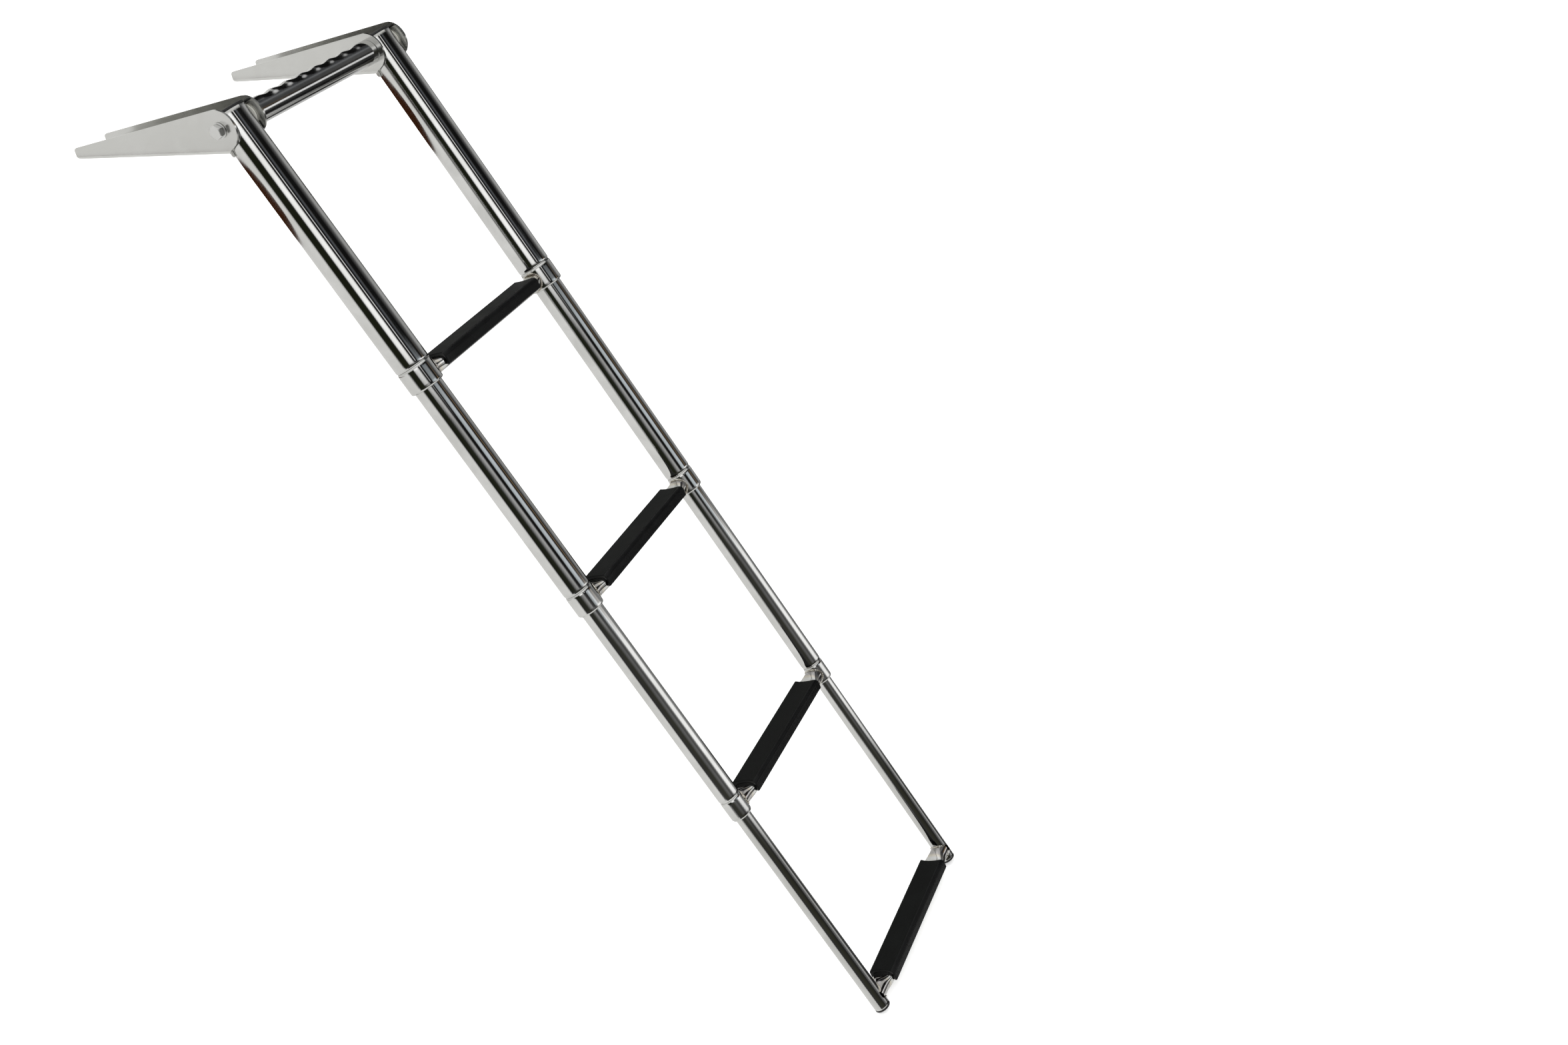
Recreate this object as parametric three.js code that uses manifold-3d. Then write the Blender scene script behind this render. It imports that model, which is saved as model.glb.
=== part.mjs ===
// Boat boarding ladder: a four-step telescoping drop ladder on two over-platform brackets.
// Millimetres, +Z up, +X outboard, +Y to the right of a person who climbs it.
// The platform's surface is z = 0, and the pivot axis stands over x = 0, y = 0.
import * as THREE from "three";
import { mergeVertices } from "three/addons/utils/BufferGeometryUtils.js";
import Module from "manifold-3d";

const wasm = await Module();
wasm.setup();

// ---- driving dimensions ----
const RAIL_SPACING = 245; // between the rail axes
const RAIL_RADII = [19.05, 15.875, 12.7, 9.525]; // sections 1 to 4
const RAIL_WALL = 1.25;
const PIVOT_HEIGHT = 24.7; // above the platform
const LEAN = THREE.MathUtils.degToRad(25.5); // of the lowered ladder, outboard from vertical
const FIT_GAP = 0.3; // between pieces that touch or slide

const RUNG_PITCH = 290; // with the ladder extended
const FIRST_RUNG = 301; // from the pivot down the rail
const COLLAR_LENGTH = 26; // from a rail's rolled groove to its lower end
const GROOVE_DEPTH = 1.3;
const GROOVE_HALF_WIDTH = 3.2;
const LIP_ROUND = 2.4; // of a rail's rolled-in lower end
const LIP_GAP = 0.5; // between a lip and the next rail
const RAIL_TOP = 14; // section 1 stands this far above the pivot, its plug included
const FOOT_LENGTH = 17; // section 4 below its rung
const STOP_RING_LENGTH = 9;

const BRACKET_WIDTH = 45;
const BRACKET_SHEET = 2;
const BRACKET_BEND = 4; // outer radius between the web and the sides
const BRACKET_REACH = 198; // from the pivot to the inboard tip
const BRACKET_TIP_HEIGHT = 12.7;
const BRACKET_TIP_ROUND = 4;
const EYE_RADIUS = 20; // of a side's round end, about the pivot
const EYE_LOWEST = THREE.MathUtils.degToRad(-57);
const SADDLE_DROP = 4; // of the saddle's lip below the platform
const SADDLE_NOSE = 3; // how far the saddle reaches outboard of the pivot
const SCREW_HOLE = 8;
const SCREW_HOLES_FROM_TIP = [13, 78];

const BOLT_RADIUS = 4;
const BOLT_HEAD = { flats: 13, height: 5.3 };
const BOLT_REACH = 13; // into the grab bar
const WASHER = { radius: 8, thickness: 1.6 };
const SPACER = { radius: 11, thickness: 0.8 };
const SLEEVE_RADIUS = 6;

const GRAB_BAR = { radius: 13.35, wall: 2.2 };
const INSERT_LENGTH = 14;
const CRIMP = { count: 7, pitch: 23.4, depth: 1.6, halfWidth: 9, angle: THREE.MathUtils.degToRad(135) };

const RUNG_RADIUS = 10.5; // of its round ends
const RUNG_WALL = 1.5;
const PRESSED = { halfWidth: 13, top: 5.5, bottom: 9 }; // a rung's middle
const RUNG_BLEND = 18; // from round to pressed
const TREAD_LENGTH = 188;
const TREAD = { back: 16, nose: 16.5, cover: 3.4, noseDrop: 4.5, backDrop: 5.5, backRound: 3, noseRound: 5 };
const TREAD_EDGE = 1.5; // rounding of a tread's two lower edges
// Angles between which a tread wraps round its rung.
const TREAD_GRIP = { from: THREE.MathUtils.degToRad(-28), to: THREE.MathUtils.degToRad(202.5) };
const TREAD_TILT = THREE.MathUtils.degToRad(12); // nearer level than square to the rails
const TREAD_END_HOLLOW = 46; // radius of the hollow in each end

const RAIL_FACETS = 20;
const SMALL_FACETS = 16;
const OVERRUN = 5; // of a cutting tool past what it cuts
const LONG_TOOL = 60; // more than any tool needs

const SIDES = [
  { name: "left", sign: -1 },
  { name: "right", sign: 1 },
];

// ---- materials ----
const metal = (color, roughness) => () => new THREE.MeshStandardMaterial({ color, roughness, metalness: 1 });
const plastic = (color, roughness) => () => new THREE.MeshStandardMaterial({ color, roughness });
const polishedSteel = metal(0xd6d7d4, 0.08);
const boltSteel = metal(0xbfc0bd, 0.25);
const blackPlastic = plastic(0x0d0f0e, 0.6);
const nylon = plastic(0xd8d6cc, 0.5);

// ---- solids ----
// A closed geometry as a solid: only its positions are kept, and shared vertices are merged.
function solid(geometry) {
  const bare = geometry.clone();
  for (const name of Object.keys(bare.attributes)) {
    if (name !== "position") bare.deleteAttribute(name);
  }
  const merged = mergeVertices(bare, 1e-4);
  const mesh = new wasm.Mesh({
    numProp: 3,
    vertProperties: merged.attributes.position.array,
    triVerts: new Uint32Array(merged.index.array),
  });
  return new wasm.Manifold(mesh);
}

function geometryOf(made) {
  const mesh = made.getMesh();
  const out = new THREE.BufferGeometry();
  out.setAttribute("position", new THREE.BufferAttribute(new Float32Array(mesh.vertProperties), 3));
  out.setIndex(new THREE.BufferAttribute(new Uint32Array(mesh.triVerts), 1));
  out.computeVertexNormals();
  return out;
}

const cut = (made, tools) => tools.reduce((left, tool) => left.subtract(solid(tool)), made);

// ---- outlines and turned shapes ----
// Points of an arc, angles in radians.
function arc(centreX, centreY, radius, from, to, steps) {
  return Array.from({ length: steps + 1 }, (_, i) => {
    const angle = from + ((to - from) * i) / steps;
    return [centreX + radius * Math.cos(angle), centreY + radius * Math.sin(angle)];
  });
}

// An outline drawn in X and Z, extruded along Y and centred on y = 0.
function extrudedAlongY(points, thickness) {
  const shape = new THREE.Shape(points.map(([x, z]) => new THREE.Vector2(x, z)));
  const plate = new THREE.ExtrudeGeometry(shape, { depth: thickness, bevelEnabled: false });
  return plate.rotateX(Math.PI / 2).translate(0, thickness / 2, 0);
}

// An outline drawn in Y and Z, extruded along X from x = from to x = to.
function extrudedAlongX(points, from, to) {
  const shape = new THREE.Shape(points.map(([y, z]) => new THREE.Vector2(y, z)));
  const bar = new THREE.ExtrudeGeometry(shape, { depth: to - from, bevelEnabled: false });
  const turn = new THREE.Matrix4().makeBasis(
    new THREE.Vector3(0, 1, 0),
    new THREE.Vector3(0, 0, 1),
    new THREE.Vector3(1, 0, 0),
  );
  return bar.applyMatrix4(turn).translate(from, 0, 0);
}

// A profile of [radius, height] points turned about Z. It runs up the outside and down the inside.
function turned(profile, facets = RAIL_FACETS) {
  const onAxis = profile[0][0] === 0;
  const closed = onAxis ? profile : [...profile, profile[0]];
  const points = closed.map(([r, h]) => new THREE.Vector2(r, h));
  return new THREE.LatheGeometry(points, facets).rotateX(Math.PI / 2);
}

const ring = (outer, inner, low, high, facets) =>
  turned([[outer, low], [outer, high], [inner, high], [inner, low]], facets);

const rod = (radius, low, high, facets) =>
  turned([[0, low], [radius, low], [radius, high], [0, high]], facets);

const alongY = (geometry) => geometry.rotateX(-Math.PI / 2);

// A boring tool along Y through everything near y = 0.
const bore = (radius, x, z, facets = SMALL_FACETS) =>
  alongY(rod(radius, -BRACKET_WIDTH, BRACKET_WIDTH, facets)).translate(x, 0, z);

function part(name, geometry, material) {
  const mesh = new THREE.Mesh(geometry, material());
  mesh.name = name;
  return mesh;
}

// ---- brackets ----
// A side of the channel: rounded tip, straight taper, round eye about the pivot.
function bracketSide() {
  const toTip = new THREE.Vector2(-BRACKET_REACH, BRACKET_TIP_HEIGHT - PIVOT_HEIGHT);
  const taperStart = toTip.angle() - Math.acos(EYE_RADIUS / toTip.length());
  const tip = -BRACKET_REACH + BRACKET_TIP_ROUND;
  const tipTop = BRACKET_TIP_HEIGHT - BRACKET_TIP_ROUND;
  return [
    ...arc(tip, tipTop, BRACKET_TIP_ROUND, Math.PI / 2, Math.PI, 3),
    ...arc(tip, BRACKET_TIP_ROUND, BRACKET_TIP_ROUND, Math.PI, 1.5 * Math.PI, 3),
    [0, 0],
    ...arc(0, PIVOT_HEIGHT, EYE_RADIUS, EYE_LOWEST, taperStart, 12),
  ];
}

// The channel's cross-section, open at the top.
function channelSection() {
  const half = BRACKET_WIDTH / 2;
  const top = PIVOT_HEIGHT + EYE_RADIUS + 1;
  const inner = BRACKET_BEND - BRACKET_SHEET;
  const bend = half - BRACKET_BEND;
  return [
    [-half, top],
    ...arc(-bend, BRACKET_BEND, BRACKET_BEND, Math.PI, 1.5 * Math.PI, 3),
    ...arc(bend, BRACKET_BEND, BRACKET_BEND, 1.5 * Math.PI, 2 * Math.PI, 3),
    [half, top],
    [half - BRACKET_SHEET, top],
    ...arc(bend, BRACKET_BEND, inner, 2 * Math.PI, 1.5 * Math.PI, 2),
    ...arc(-bend, BRACKET_BEND, inner, 1.5 * Math.PI, Math.PI, 2),
    [-half + BRACKET_SHEET, top],
  ];
}

// A rod or ring about the lowered rail's axis.
const onLoweredRail = (geometry) => geometry.rotateY(-LEAN).translate(0, 0, PIVOT_HEIGHT);

// The half-round saddle at the web's outboard end, which stops the lowered rail.
function saddle() {
  const inner = RAIL_RADII[0] + FIT_GAP;
  const shell = solid(onLoweredRail(ring(inner + BRACKET_SHEET, inner - 1, -LONG_TOOL, 0)));
  const reach = inner + BRACKET_SHEET + 2 * OVERRUN;
  const keep = new THREE.BoxGeometry(reach, BRACKET_WIDTH - BRACKET_SHEET, SADDLE_DROP + BRACKET_SHEET);
  keep.translate(SADDLE_NOSE - reach / 2, 0, (BRACKET_SHEET - SADDLE_DROP) / 2);
  return shell.intersect(solid(keep));
}

function bracket() {
  const channel = solid(extrudedAlongX(channelSection(), -BRACKET_REACH - 1, EYE_RADIUS + 1));
  const outline = solid(extrudedAlongY(bracketSide(), BRACKET_WIDTH + 2));
  const screwHoles = SCREW_HOLES_FROM_TIP.map((from) =>
    rod(SCREW_HOLE / 2, -OVERRUN, OVERRUN, SMALL_FACETS).translate(from - BRACKET_REACH, 0, 0),
  );
  const railClearance = onLoweredRail(rod(RAIL_RADII[0] + FIT_GAP, -LONG_TOOL, LONG_TOOL));
  const tools = [railClearance, bore(BOLT_RADIUS + FIT_GAP, 0, PIVOT_HEIGHT), ...screwHoles];
  return geometryOf(cut(channel.intersect(outline).add(saddle()), tools));
}

// ---- pivot ----
// Heights along a pivot bolt, from the rail's axis outwards to the bolt's head.
const OUTER_FACE = BRACKET_WIDTH / 2;
const INNER_FACE = OUTER_FACE - BRACKET_SHEET;

function pivotBolt() {
  const headLow = OUTER_FACE + WASHER.thickness + 2 * FIT_GAP;
  const corner = BOLT_HEAD.flats / 2 / Math.cos(Math.PI / 6);
  const head = solid(rod(corner, headLow, headLow + BOLT_HEAD.height, 6));
  const shank = solid(rod(BOLT_RADIUS, -OUTER_FACE - BOLT_REACH, headLow + 1, SMALL_FACETS));
  return alongY(geometryOf(head.add(shank)));
}

function boltWasher() {
  const low = OUTER_FACE + FIT_GAP;
  return alongY(ring(WASHER.radius, BOLT_RADIUS + FIT_GAP, low, low + WASHER.thickness, SMALL_FACETS));
}

// A nylon washer between the rail and one side of the bracket.
function spacer(direction) {
  const middle = (direction * (INNER_FACE + RAIL_RADII[0])) / 2;
  const half = SPACER.thickness / 2;
  return alongY(ring(SPACER.radius, BOLT_RADIUS + FIT_GAP, middle - half, middle + half, SMALL_FACETS));
}

function pivotSleeve() {
  const half = RAIL_RADII[0] - FIT_GAP / 2;
  return alongY(ring(SLEEVE_RADIUS, BOLT_RADIUS + FIT_GAP, -half, half, SMALL_FACETS));
}

// ---- grab bar ----
const GRAB_BAR_HALF = RAIL_SPACING / 2 - OUTER_FACE - FIT_GAP;

// How far the crimps press the bar in, by angle about its axis and place along it.
function crimpDepth(angle, along) {
  const facing = Math.max(0, Math.cos(angle - CRIMP.angle));
  const nearest = CRIMP.pitch * Math.round(along / CRIMP.pitch);
  const away = Math.abs(along - nearest) / CRIMP.halfWidth;
  const inReach = Math.abs(nearest) <= (CRIMP.pitch * (CRIMP.count - 1)) / 2 + 1;
  return inReach ? CRIMP.depth * facing * Math.max(0, 1 - away) : 0;
}

function grabBar() {
  const { radius, wall } = GRAB_BAR;
  const stations = [-GRAB_BAR_HALF];
  for (let i = 0; i < CRIMP.count; i += 1) {
    const centre = CRIMP.pitch * (i - (CRIMP.count - 1) / 2);
    stations.push(centre - CRIMP.halfWidth, centre, centre + CRIMP.halfWidth);
  }
  stations.push(GRAB_BAR_HALF);
  const inside = [[radius - wall, GRAB_BAR_HALF], [radius - wall, -GRAB_BAR_HALF]];
  const bar = alongY(turned([...stations.map((height) => [radius, height]), ...inside]));
  const place = bar.attributes.position;
  for (let i = 0; i < place.count; i += 1) {
    const [x, y, z] = [place.getX(i), place.getY(i), place.getZ(i)];
    const from = Math.hypot(x, z);
    if (from < radius - wall / 2) continue;
    const scale = 1 - crimpDepth(Math.atan2(z, x), y) / from;
    place.setXYZ(i, x * scale, y, z * scale);
  }
  return bar.translate(0, 0, PIVOT_HEIGHT);
}

// A tapped plug in one end of the grab bar.
function grabBarInsert() {
  const outer = GRAB_BAR.radius - GRAB_BAR.wall - FIT_GAP;
  return alongY(ring(outer, BOLT_RADIUS + FIT_GAP, -INSERT_LENGTH, 0, SMALL_FACETS));
}

// ---- rails: heights are from the section's own rung ----
const GROOVE_HEIGHT = COLLAR_LENGTH / 2;
const COLLAR_END = -COLLAR_LENGTH / 2;
const STOP_RING_LOW = RUNG_PITCH + GROOVE_HEIGHT + GROOVE_HALF_WIDTH + FIT_GAP;
const INNER_RAIL_TOP = STOP_RING_LOW + STOP_RING_LENGTH;

// A rail with a rolled groove above its collar and a lip rolled in around the next rail.
function collaredRail(section, top) {
  const outer = RAIL_RADII[section];
  const inner = outer - RAIL_WALL;
  const lip = RAIL_RADII[section + 1] + LIP_GAP;
  const groove = (radius) => [
    [radius, GROOVE_HEIGHT - GROOVE_HALF_WIDTH],
    [radius - GROOVE_DEPTH, GROOVE_HEIGHT],
    [radius, GROOVE_HEIGHT + GROOVE_HALF_WIDTH],
  ];
  return turned([
    [lip, COLLAR_END],
    ...arc(outer - LIP_ROUND, COLLAR_END + LIP_ROUND, LIP_ROUND, -Math.PI / 2, 0, 2),
    ...groove(outer),
    [outer, top],
    [inner, top],
    ...groove(inner).reverse(),
    [inner, COLLAR_END + LIP_ROUND + RAIL_WALL],
    [lip, COLLAR_END + RAIL_WALL],
  ]);
}

function outerRail() {
  const rail = solid(collaredRail(0, FIRST_RUNG + RAIL_TOP - PLUG_HEAD - FIT_GAP));
  return geometryOf(cut(rail, [bore(SLEEVE_RADIUS + FIT_GAP, 0, FIRST_RUNG)]));
}

const lastRail = () =>
  ring(RAIL_RADII[3], RAIL_RADII[3] - RAIL_WALL, PLUG_HEAD + FIT_GAP - FOOT_LENGTH, INNER_RAIL_TOP);

// A plastic sleeve held between a rail's lip and its groove, which the next rail slides through.
function guideBush(section) {
  const low = COLLAR_END + LIP_ROUND + RAIL_WALL + FIT_GAP;
  const high = GROOVE_HEIGHT - GROOVE_HALF_WIDTH - FIT_GAP;
  return ring(RAIL_RADII[section] - RAIL_WALL - FIT_GAP, RAIL_RADII[section + 1] + FIT_GAP, low, high);
}

// A plastic ring around a rail's upper end, too wide to pass the groove of the rail outside it.
function stopRing(section) {
  const outer = RAIL_RADII[section - 1] - RAIL_WALL - FIT_GAP;
  return ring(outer, RAIL_RADII[section] + FIT_GAP, STOP_RING_LOW, INNER_RAIL_TOP);
}

// A plug with its head over the end of a rail and its skirt inside. It points up, with the head's top at 0.
const PLUG_HEAD = 2.7;
const PLUG_SKIRT = 3.6;
function plug(radius) {
  const skirt = radius - RAIL_WALL - FIT_GAP;
  return turned([
    [0, -PLUG_HEAD - PLUG_SKIRT],
    [skirt, -PLUG_HEAD - PLUG_SKIRT],
    [skirt, -PLUG_HEAD],
    [radius, -PLUG_HEAD],
    ...arc(radius - PLUG_HEAD / 2, -PLUG_HEAD / 2, PLUG_HEAD / 2, 0, Math.PI / 2, 2),
    [0, 0],
  ]);
}

// ---- rungs and treads: drawn in X (outboard) and Z (up the rail), before the tilt ----
const power = (value, exponent) => Math.sign(value) * Math.abs(value) ** exponent;

// A point of the pressed rung's flat-topped section, grown outwards all round.
function pressedPoint(angle, grow) {
  const [c, s] = [Math.cos(angle), Math.sin(angle)];
  const height = s > 0 ? (PRESSED.top + grow) * power(s, 0.45) : (PRESSED.bottom + grow) * power(s, 0.9);
  return [(PRESSED.halfWidth + grow) * power(c, 0.6), height];
}

// A rung's tube between the rail axes, round at its ends and pressed in the middle.
function rungTube(grow) {
  const half = RAIL_SPACING / 2;
  const pressed = TREAD_LENGTH / 2 - 2;
  const blend = [0, 0.25, 0.6, 1].map((share) => [pressed + RUNG_BLEND * (1 - share), share]);
  const stations = [[half, 0], ...blend].flatMap(([y, share]) => [[y, share], [-y, share]]);
  stations.sort((a, b) => a[0] - b[0]);
  const points = [];
  for (const [y, share] of stations) {
    for (let i = 0; i < SMALL_FACETS; i += 1) {
      const angle = (2 * Math.PI * i) / SMALL_FACETS;
      const round = RUNG_RADIUS + grow;
      const [flatX, flatZ] = pressedPoint(angle, grow);
      const x = THREE.MathUtils.lerp(round * Math.cos(angle), flatX, share);
      const z = THREE.MathUtils.lerp(round * Math.sin(angle), flatZ, share);
      points.push(x, y, z);
    }
  }
  return lofted(points, stations.length, SMALL_FACETS);
}

// A closed skin over rings of points that follow each other along Y.
function lofted(points, rings, around) {
  const faces = [];
  for (let i = 0; i < rings - 1; i += 1) {
    for (let j = 0; j < around; j += 1) {
      const next = (j + 1) % around;
      const [a, b, c, d] = [i * around + j, i * around + next, (i + 1) * around + next, (i + 1) * around + j];
      faces.push(a, c, b, a, d, c);
    }
  }
  const last = (rings - 1) * around;
  for (let j = 1; j < around - 1; j += 1) {
    faces.push(0, j, j + 1);
    faces.push(last, last + j + 1, last + j);
  }
  const out = new THREE.BufferGeometry();
  out.setAttribute("position", new THREE.Float32BufferAttribute(points, 3));
  out.setIndex(faces);
  return out;
}

function rung(section) {
  const inside = rungTube(-RUNG_WALL).scale(1, 1.1, 1);
  const tube = cut(solid(rungTube(0)), [inside]);
  const tilted = tube.rotate([0, THREE.MathUtils.radToDeg(TREAD_TILT), 0]);
  const rails = SIDES.map(({ sign }) =>
    rod(RAIL_RADII[section] + FIT_GAP, -LONG_TOOL, LONG_TOOL).translate(0, (sign * RAIL_SPACING) / 2, 0),
  );
  return geometryOf(cut(tilted, rails));
}

// A clip-on cover: flat on top, wrapped round the rung's outboard edge and hooked under its back.
function treadOutline() {
  const { back, nose, cover, noseDrop, backDrop, backRound, noseRound } = TREAD;
  const top = PRESSED.top + FIT_GAP + cover;
  const inner = [];
  for (let i = 0; i <= 12; i += 1) {
    inner.push(pressedPoint(THREE.MathUtils.lerp(TREAD_GRIP.from, TREAD_GRIP.to, i / 12), FIT_GAP));
  }
  return [
    ...inner,
    ...arc(TREAD_EDGE - back, TREAD_EDGE - backDrop, TREAD_EDGE, 1.5 * Math.PI, Math.PI, 2),
    ...arc(-back + backRound, top - backRound, backRound, Math.PI, Math.PI / 2, 3),
    ...arc(nose - noseRound, top - noseRound, noseRound, Math.PI / 2, 0, 4),
    ...arc(nose - TREAD_EDGE, TREAD_EDGE - noseDrop, TREAD_EDGE, 0, -Math.PI / 2, 2),
  ];
}

function tread() {
  const cover = solid(extrudedAlongY(treadOutline(), TREAD_LENGTH));
  const sagitta = TREAD_END_HOLLOW - Math.sqrt(TREAD_END_HOLLOW ** 2 - TREAD.nose ** 2);
  const centre = TREAD_LENGTH / 2 - sagitta + TREAD_END_HOLLOW;
  const hollows = SIDES.map(({ sign }) =>
    rod(TREAD_END_HOLLOW, -LONG_TOOL, LONG_TOOL, 48).translate(0, sign * centre, 0),
  );
  return geometryOf(cut(cover, hollows).rotate([0, THREE.MathUtils.radToDeg(TREAD_TILT), 0]));
}

// ---- assembly ----
// A piece at one rail: its geometry is built about the rail's axis.
function atRail(mesh, side, height = 0) {
  mesh.position.set(0, (side.sign * RAIL_SPACING) / 2, height);
  return mesh;
}

const ladder = new THREE.Group();

for (const side of SIDES) {
  const outwards = (geometry) => (side.sign > 0 ? geometry : geometry.rotateZ(Math.PI));
  ladder.add(atRail(part("bracket_" + side.name, bracket(), polishedSteel), side));
  ladder.add(atRail(part("pivot_bolt_" + side.name, outwards(pivotBolt()), boltSteel), side, PIVOT_HEIGHT));
  ladder.add(atRail(part("bolt_washer_" + side.name, outwards(boltWasher()), boltSteel), side, PIVOT_HEIGHT));
  for (const [place, direction] of [["outer", side.sign], ["inner", -side.sign]]) {
    const name = "spacer_" + side.name + "_" + place;
    ladder.add(atRail(part(name, spacer(direction), nylon), side, PIVOT_HEIGHT));
  }
  const insert = part("grab_bar_insert_" + side.name, outwards(grabBarInsert()), boltSteel);
  insert.position.set(0, side.sign * GRAB_BAR_HALF, PIVOT_HEIGHT);
  ladder.add(insert);
}
ladder.add(part("grab_bar", grabBar(), polishedSteel));

// Everything that swings, drawn with the rails upright and the pivot at the origin, then leaned.
const swing = new THREE.Group();
swing.position.z = PIVOT_HEIGHT;
swing.rotation.y = -LEAN;
ladder.add(swing);

RAIL_RADII.forEach((radius, index) => {
  const number = index + 1;
  const first = index === 0;
  const last = index === RAIL_RADII.length - 1;
  const section = new THREE.Group();
  section.position.z = -FIRST_RUNG - RUNG_PITCH * index;
  swing.add(section);
  section.add(part("rung_" + number, rung(index), polishedSteel));
  section.add(part("tread_" + number, tread(), blackPlastic));
  for (const side of SIDES) {
    const named = (name) => `${name}_${number}_${side.name}`;
    const rail = first ? outerRail() : last ? lastRail() : collaredRail(index, INNER_RAIL_TOP);
    section.add(atRail(part(named("rail"), rail, polishedSteel), side));
    if (!last) section.add(atRail(part(named("guide_bush"), guideBush(index), blackPlastic), side));
    if (!first) section.add(atRail(part(named("stop_ring"), stopRing(index), blackPlastic), side));
    if (first) {
      const top = FIRST_RUNG + RAIL_TOP;
      section.add(atRail(part("rail_plug_" + side.name, plug(radius), blackPlastic), side, top));
      section.add(atRail(part("pivot_sleeve_" + side.name, pivotSleeve(), boltSteel), side, FIRST_RUNG));
    }
    if (last) {
      const cap = plug(radius).rotateX(Math.PI);
      section.add(atRail(part("end_cap_" + side.name, cap, blackPlastic), side, -FOOT_LENGTH));
    }
  }
});

export default ladder;
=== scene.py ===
"""A boat boarding ladder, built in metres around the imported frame."""
import math

import bmesh
import bpy
import numpy as np
from mathutils import Euler, Matrix, Vector


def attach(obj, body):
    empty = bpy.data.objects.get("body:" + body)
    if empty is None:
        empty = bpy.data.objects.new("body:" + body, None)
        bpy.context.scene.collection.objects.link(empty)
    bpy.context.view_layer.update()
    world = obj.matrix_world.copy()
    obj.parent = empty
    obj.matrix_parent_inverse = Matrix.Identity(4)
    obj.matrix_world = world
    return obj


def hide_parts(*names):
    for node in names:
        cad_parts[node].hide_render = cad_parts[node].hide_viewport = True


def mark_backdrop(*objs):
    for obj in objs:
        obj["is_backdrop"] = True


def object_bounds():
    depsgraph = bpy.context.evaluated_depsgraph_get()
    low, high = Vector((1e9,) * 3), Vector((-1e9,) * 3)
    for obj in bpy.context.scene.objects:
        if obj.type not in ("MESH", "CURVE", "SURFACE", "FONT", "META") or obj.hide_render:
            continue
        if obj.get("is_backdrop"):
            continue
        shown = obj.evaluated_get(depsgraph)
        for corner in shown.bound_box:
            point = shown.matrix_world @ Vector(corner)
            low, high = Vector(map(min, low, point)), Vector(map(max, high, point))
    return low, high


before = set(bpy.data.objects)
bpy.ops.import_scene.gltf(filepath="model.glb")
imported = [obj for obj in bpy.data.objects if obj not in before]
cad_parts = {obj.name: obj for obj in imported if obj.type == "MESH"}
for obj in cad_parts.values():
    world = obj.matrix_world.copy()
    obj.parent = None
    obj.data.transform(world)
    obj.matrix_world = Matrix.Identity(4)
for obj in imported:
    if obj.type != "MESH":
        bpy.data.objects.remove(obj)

CAD_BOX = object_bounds()
MM = 0.001
rad = math.radians

# ---- dimensions, in millimetres, as in the CAD ----
SPACING = 245  # between the rail axes
RADII = [19.05, 15.875, 12.7, 9.525]  # of the rails of sections 1 to 4
WALL = 1.25
PIVOT_Z = 24.7
LEAN = rad(25.5)  # of the lowered ladder, outboard from vertical
GAP = 0.3  # between pieces that touch or slide
PITCH = 290  # between the rungs, extended
FIRST_RUNG = 301  # from the pivot down the rail
COLLAR = 26  # from a rail's rolled groove to its lower end
GROOVE_DEPTH, GROOVE_HALF = 1.3, 3.2
LIP_ROUND, LIP_GAP = 2.4, 0.5
RAIL_TOP = 14  # section 1 above the pivot, its plug included
FOOT = 17  # section 4 below its rung
STOP_RING = 9
PLUG_HEAD, PLUG_SKIRT, PLUG_ROUND = 2.7, 3.6, 1.3

BRACKET_WIDTH, SHEET, BEND = 45, 2, 4
REACH, TIP_HEIGHT, TIP_ROUND = 198, 12.7, 4
EYE, EYE_LOWEST = 20, -57  # radius of a side's round end, and the angle where it starts
SADDLE_DROP, SADDLE_NOSE = 4, 3
SCREW_HOLE, SCREW_FROM_TIP = 8, (13, 78)
BRACKET_EDGE = 0.4

BOLT_R, BOLT_REACH, BOLT_EDGE = 4, 13, 0.6
HEX_FLATS, HEX_HEIGHT = 13.0, 5.3
WASHER_R, WASHER_T = 8, 1.6
SPACER_R, SPACER_T = 11, 0.8
SLEEVE_R = 6
BAR_R, BAR_WALL = 13.35, 2.2
INSERT = 14
CRIMPS, CRIMP_PITCH, CRIMP_DEPTH, CRIMP_FACING = 7, 23.4, 1.6, rad(135)

RUNG_R = 10.5  # of its round ends
PRESSED_HALF, PRESSED_TOP, PRESSED_BOTTOM = 13, 5.5, 9  # of its middle
RUNG_BLEND = 18  # from pressed to round
RUNG_SINK = 0.4  # of a rung's end into its rail's wall
BEAD_R = 1.25

TREAD_L, TILT = 188, rad(12)
TREAD_FRONT, TREAD_BACK, COVER = 16.5, 16, 3.4
NOSE_DROP, BACK_DROP = 4.5, 5.5
NOSE_ROUND, BACK_ROUND, LOWER_EDGE = 5, 3, 1.5
GRIP_FROM, GRIP_TO = rad(-28), rad(202.5)  # where a tread wraps round its rung
TREAD_HOLLOW = 46  # radius of the hollow in each end
TREAD_END_ROUND = 1.1
NOSE_RIB_PITCH, TOP_RIB_PITCH = 1.3, 1.6
NOSE_RIB_DEPTH, TOP_RIB_DEPTH = 0.16, 0.072

SIDES = {"left": -1, "right": 1}
LAST = len(RADII) - 1
OVERRUN = 5  # of a cutting tool past what it cuts
LONG_TOOL = 60  # more than any cut needs
FULL_ROUND, SMALL_ROUND = 128, 64  # facets of large and small turned pieces

GROOVE_AT = COLLAR / 2
COLLAR_END = -COLLAR / 2
STOP_LOW = PITCH + GROOVE_AT + GROOVE_HALF + GAP
INNER_TOP = STOP_LOW + STOP_RING
OUTER_FACE, INNER_FACE = BRACKET_WIDTH / 2, BRACKET_WIDTH / 2 - SHEET

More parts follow.
